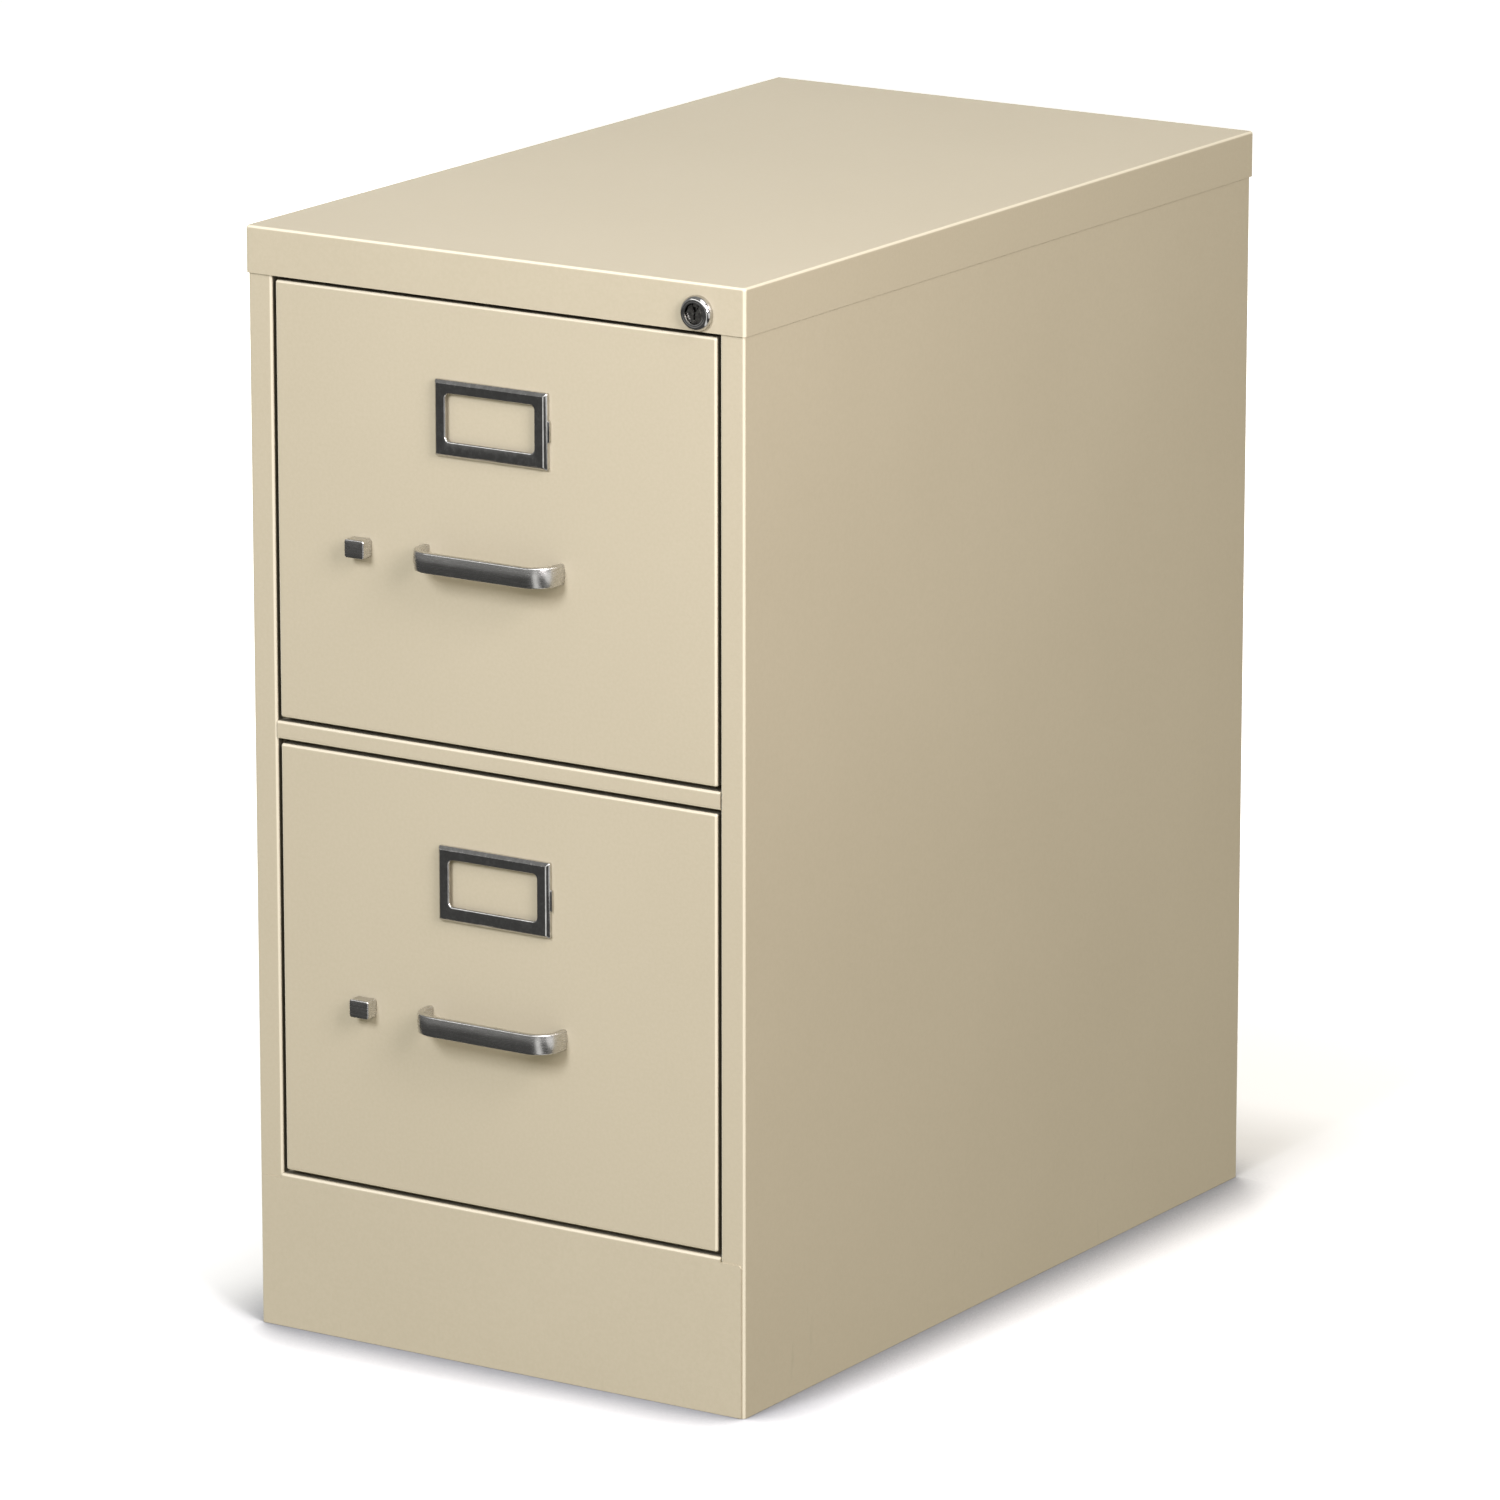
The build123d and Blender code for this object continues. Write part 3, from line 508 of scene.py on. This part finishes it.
def pull_piece(level):
    """The D-shaped strap, swept from foot to foot."""
    low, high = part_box(f"{level}_pull")
    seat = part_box(f"{level}_drawer_front")[0].y - seat_clearance
    middle = (low.z + high.z) / 2
    section = strap_section(high.z - low.z)
    rings = []
    for (x, y), a in strap_path(low, high, seat):
        out = Vector((cos(a), sin(a), 0))
        rings.append([Vector((x, y, middle + v)) - out * u for u, v in section])
    piece(f"{level}_strap_pull", loft(rings), f"{level}_drawer", "satin_metal",
          [f"{level}_pull"], crease=50)


def frame_rings(centre, outer, front, seat):
    """Rings of the card frame's section, once round: bevel, face, rolled window lip, pocket."""

    def ring(half, corner, y, middle=centre):
        return facing(rounded(half, corner, middle), y)

    rings = [ring(outer, frame_corner + frame_sharp, seat),
             ring(outer, frame_corner + frame_sharp, front + frame_bevel + frame_sharp)]
    for k in range(frame_bevel_steps + 1):
        t = k / frame_bevel_steps
        inset = frame_bevel * t
        bulge = frame_bevel_bulge * sin(pi * t)
        rings.append(ring((outer[0] - inset, outer[1] - inset),
                          frame_sharp + frame_corner * (1 - t),
                          front + frame_bevel * (1 - t) - bulge))
    inset = frame_bevel + frame_face_inset
    rings.append(ring((outer[0] - inset, outer[1] - inset), frame_sharp, front))
    window = (centre[0], centre[1] + window_rise)
    for k in range(frame_lip_steps + 1):
        a = pi / 2 * k / frame_lip_steps
        grow = frame_wall * (1 - sin(a))
        rings.append(ring((window_half[0] + grow, window_half[1] + grow), window_corner + grow,
                          front + frame_wall * (1 - cos(a)), window))
    rings.append(ring(pocket_half, frame_sharp, front + frame_wall))
    rings.append(ring(pocket_half, frame_sharp, seat))
    return rings


def card_frame(level):
    """Pressed card frame with mitred bevels, a card stop at its right and two fixing tabs."""
    low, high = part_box(f"{level}_label_holder")
    half = (-low.x, (high.z - low.z) / 2)
    centre = (0.0, (low.z + high.z) / 2)
    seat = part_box(f"{level}_drawer_front")[0].y - seat_clearance
    body = loft(frame_rings(centre, half, low.y, seat), closed=True)
    stop = brick((half[0] - card_stop_overlap, seat - card_stop_thickness,
                  centre[1] - card_stop_half_height),
                 (half[0] + card_stop_reach, seat, centre[1] + card_stop_half_height),
                 card_stop_edge)
    tabs = [brick((x, seat - tab_root, centre[1] - tab_half_height),
                  (x + tab_thickness, high.y, centre[1] + tab_half_height), tab_edge)
            for x in (low.x + tab_inset, -low.x - tab_inset - tab_thickness)]
    piece(f"{level}_card_frame", joined(body, stop, *tabs), f"{level}_drawer", "chrome",
          [f"{level}_label_holder"], crease=28)


def button_outlines(low, half, back):
    """The thumb piece's outlines from back to front, as (inset, depth)."""
    inset, rise = button_back_edge
    outlines = [(inset, back), (0.0, back - rise), (0.0, low.y + button_edge + button_crown)]
    for k in range(1, button_edge_steps + 1):
        a = pi / 2 * k / button_edge_steps
        outlines.append((button_edge * (1 - cos(a)),
                         low.y + button_crown + button_edge * (1 - sin(a))))
    for t in button_crown_shares:
        outlines.append((button_edge + (half[1] - button_edge) * t,
                         low.y + button_crown * (1 - t) ** 2))
    return outlines


def thumb_button(level):
    """Crowned thumb piece with rounded corners, and the shank behind it."""
    low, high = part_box(f"{level}_latch_button")
    centre, half = front_view(low, high)
    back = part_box(f"{level}_drawer_front")[0].y - button_gap
    rings = []
    for inset, y in button_outlines(low, half, back):
        corner = max(button_corner - inset, button_least_corner)
        rings.append(facing(rounded((half[0] - inset, half[1] - inset), corner, centre), y))
    shank = brick((centre[0] - shank_left, back - shank_overlap, centre[1] - shank_half_height),
                  (centre[0] - shank_right, high.y, centre[1] + shank_half_height), shank_edge)
    piece(f"{level}_thumb_button", joined(loft(rings), shank), f"{level}_latch", "satin_metal",
          [f"{level}_latch_button"], crease=35)


def round_lock(axis, radius, y, angles):
    """A ring of points about the lock's axis, one at each angle."""
    return [Vector((axis[0] + radius * cos(a), y, axis[1] + radius * sin(a))) for a in angles]


def lock_bezel():
    """Domed bezel with a shallow inner ring, and the barrel behind it."""
    low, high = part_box("lock_housing")
    axis, (rim, _) = front_view(low, high)
    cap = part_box("top_cap")[0].y
    dome_rise = cap - low.y - dome_foot
    barrel, bore = rim - barrel_inset, rim - bore_inset
    profile = [(bore, high.y), (barrel, high.y), (barrel, cap), (rim, cap)]
    for k in range(dome_steps + 1):
        a = pi / 2 * k / dome_steps
        profile.append((rim - dome_width * (1 - cos(a)), cap - dome_foot - dome_rise * sin(a)))
    profile += [(rim - inset, low.y + depth) for inset, depth in bezel_ring]
    angles = [2 * pi * k / turning_steps for k in range(turning_steps)]
    rings = [round_lock(axis, radius, y, angles) for radius, y in profile]
    piece("lock_bezel", loft(rings, closed=True), "cabinet", "chrome", ["lock_housing"],
          crease=35)


def keyway_outline(axis):
    """A crooked key slot, as a loop of (x, z) that the centre sees all round."""
    w, h = keyway_half
    climb = [k / keyway_steps - 1 for k in range(2 * keyway_steps + 1)]
    fall = [1 - k / keyway_steps for k in range(2 * keyway_steps + 1)]
    right = [(w * (1.0 if t > 0.2 else 0.45), h * t) for t in climb]
    left = [(-w * (1.0 if t < -0.1 or t > 0.55 else 0.4), h * t) for t in fall]
    return [(axis[0] + x, axis[1] + z) for x, z in right + left]


def key_plug():
    """Keyed plug: chamfered face with a turned groove, and the crooked slot cut into it."""
    low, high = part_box("lock_plug")
    axis, (radius, _) = front_view(low, high)
    slot = keyway_outline(axis)
    angles = [atan2(z - axis[1], x - axis[0]) for x, z in slot]
    flared = [(x + (x - axis[0]) * keyway_flare[0], z + (z - axis[1]) * keyway_flare[1])
              for x, z in slot]
    face = low.y
    profile = [(radius, high.y), (radius, face + plug_edge), (radius - plug_edge, face)]
    profile += [(radius * share, face + depth) for share, depth in plug_groove]
    rings = [round_lock(axis, r, y, angles) for r, y in profile]
    rings += [facing(flared, face), facing(slot, face + keyway_chamfer),
              facing(slot, face + keyway_depth)]
    piece("key_plug", loft(rings), "lock_plug", "lock_metal", ["lock_plug"], crease=30)


def latch_spring(level):
    """Coil spring for the latch, wound along the length of its box."""
    low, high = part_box(f"{level}_latch_spring")
    middle = (low + high) / 2
    radius = (high.z - low.z) / 2 - spring_wire
    start, length = low.x + spring_wire, high.x - low.x - 2 * spring_wire
    pitch = length / (2 * pi * spring_turns)
    steps = spring_steps_per_turn * spring_turns
    wire = [2 * pi * s / spring_wire_sides for s in range(spring_wire_sides)]
    rings = []
    for k in range(steps + 1):
        a = 2 * pi * spring_turns * k / steps
        out = Vector((0, cos(a), sin(a)))
        along = Vector((pitch, -radius * sin(a), radius * cos(a))).normalized()
        across = along.cross(out)
        centre = Vector((start + length * k / steps, middle.y, middle.z)) + out * radius
        rings.append([centre + (out * cos(b) + across * sin(b)) * spring_wire for b in wire])
    spring = piece(f"{level}_latch_coil", loft(rings), f"{level}_drawer", "spring_steel",
                   [f"{level}_latch_spring"], crease=60)
    1 - latch_travel / (high.x - low.x)
    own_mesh(spring)


# ---------------------------------------------------------------- studio


def floor_finish():
    """Pale, with a painted contact shadow where something stands close, and glowing further out like the backdrop.
    """
    black, white = rgb(0.0, 0.0, 0.0), rgb(1.0, 1.0, 1.0)
    shadow = rgb(0.25, 0.26, 0.29)
    f = finish("pale_floor")
    at = f.place()
    cloud = f.noise(at, scale=3.0, detail=2.0)
    x, y, _ = f.split(at)
    away = f.math("SQRT", x * x + y * y)
    contact_shade = f.node("ShaderNodeAmbientOcclusion", {"samples": 8},
                      {"Distance": floor_shadow_reach}, output="AO")
    pale = f.mixed(cloud, rgb(0.93, 0.93, 0.94), rgb(0.95, 0.95, 0.96))
    return f.surface(
        # Painted shadow: the floor colour darkens with occlusion near whatever stands on it
        Base_Color=f.mixed(f.between(contact_shade, 0.45, 1.0), shadow, pale),
        Roughness=0.7,
        Emission_Color=f.mixed(f.between(away, 0.45, 1.3), black, white),
        Emission_Strength=0.6,
    )


def floor():
    """A wide floor just under the feet, left out of reflections and of the bounced light."""
    size = floor_half_width
    mesh = bpy.data.meshes.new("floor")
    corners = [(-size, -size), (size, -size), (size, size), (-size, size)]
    mesh.from_pydata([(x, y, -floor_drop) for x, y in corners], [], [(0, 1, 2, 3)])
    mesh.materials.append(floor_finish())
    made = bpy.data.objects.new("floor", mesh)
    bpy.context.scene.collection.objects.link(made)
    made.visible_glossy = made.visible_diffuse = False


def even_fill(f, z, above):
    """What lights the paint: more from below, less from overhead."""
    below, level_with, overhead = 0.69, 0.43, 0.38
    high = f.between(z, 0.05, 0.75)
    return below * (1 - above) + above * (1 - high) * level_with + high * overhead


def sky():
    """Pale backdrop to the eye, a warm even fill on the paint, and panels in reflections."""
    backdrop, unlit = 1.02, 0.08
    white, warm = rgb(1.0, 1.0, 1.0), rgb(1.0, 0.96, 0.78)
    world = bpy.data.worlds.new("studio")
    bpy.context.scene.world = world
    f = Finish(world)
    x, y, z = f.split(f.node("ShaderNodeTexCoord", output="Generated"))
    seen = f.node("ShaderNodeLightPath", output="Is Camera Ray")
    gloss = f.node("ShaderNodeLightPath", output="Is Glossy Ray")
    above = f.between(z, -0.05, 0.10)
    ahead = f.between(y, 0.15, -0.05)
    strip = (f.between(z, 0.36, 0.42) * f.between(z, 0.60, 0.54)
             * f.between(x, -0.74, -0.62) * ahead)
    lamp = (f.between(z, 0.60, 0.68) * f.between(x, 0.0, 0.12)
            * f.between(x, 0.65, 0.52) * ahead)
    right = ahead * f.between(x, 0.28, 0.36) * f.between(x, 0.66, 0.58)
    side = f.between(x, 0.88, 0.93)
    # Each panel and how bright it is
    panels = ((f.between(z, -0.17, -0.05), 0.22),
              (f.between(y, 0.1, 0.5), 0.12),
              (strip, 3.0),
              (lamp, 2.5),
              ((right + side) * (1 - above), 0.9))
    mirrored = sum((region * glow for region, glow in panels), unlit)
    fill = even_fill(f, z, above)
    shade = (fill * (1 - gloss) + mirrored * gloss) * (1 - seen) + seen * backdrop
    tint = f.mixed((1 - gloss) * (1 - seen), white, warm)
    background = f.node("ShaderNodeBackground", None, {"Color": tint, "Strength": shade})
    f.node("ShaderNodeOutputWorld", None, {"Surface": background})


def softbox(name, place, target, size, power, colour, mirrored):
    """A soft panel light. The metal shows it only if it is mirrored."""
    light = bpy.data.lights.new(name, "AREA")
    light.shape, light.size, light.size_y = "RECTANGLE", *size
    light.energy, light.color = power, colour
    made = bpy.data.objects.new(name, light)
    bpy.context.scene.collection.objects.link(made)
    made.location = place
    made.rotation_mode = "QUATERNION"
    made.rotation_quaternion = (Vector(target) - Vector(place)).to_track_quat("-Z", "Y")
    made.visible_glossy = mirrored
    made.visible_camera = False


def studio():
    softbox("key", (-0.3, -3.6, 2.6), target=(0.0, -0.3, 0.5), size=(1.4, 1.4),
            power=155, colour=(0.875, 0.905, 1.0), mirrored=False)
    softbox("overhead", (0.13, -0.14, 3.6), target=(0.13, -0.14, 0.0), size=(0.35, 0.35),
            power=38, colour=(1.0, 1.0, 1.0), mirrored=False)
    softbox("rear", (-2.2, 2.6, 1.7), target=(-0.1, 0.1, 0.4), size=(1.2, 1.2),
            power=45, colour=(1.0, 0.97, 0.9), mirrored=False)
    softbox("right", (1.7, -1.1, 1.5), target=(0.19, -0.2, 0.5), size=(0.7, 1.2),
            power=43, colour=(1.0, 0.95, 0.98), mirrored=True)


def camera():
    data = bpy.data.cameras.new("view")
    data.lens, data.sensor_width = camera_lens, camera_sensor
    data.clip_start, data.clip_end = 0.1, 100.0
    made = bpy.data.objects.new("view", data)
    bpy.context.scene.collection.objects.link(made)
    turn, tilt = camera_azimuth, camera_elevation
    ahead = Vector((-sin(turn) * cos(tilt), cos(turn) * cos(tilt), sin(tilt)))
    made.location = camera_place
    made.rotation_mode = "QUATERNION"
    made.rotation_quaternion = ahead.to_track_quat("-Z", "Y")
    bpy.context.scene.camera = made


# ---------------------------------------------------------------- the cabinet

for part in frame["record"]["subparts"]:
    for holder in nodes[part["node"]].material_slots:
        holder.material = finishes[part["material_slot"]]

for level in levels:
    pull_piece(level)
    card_frame(level)
    thumb_button(level)
    latch_spring(level)
lock_bezel()
key_plug()

floor()
sky()
studio()
camera()
bpy.context.scene.view_settings.view_transform = "Standard"
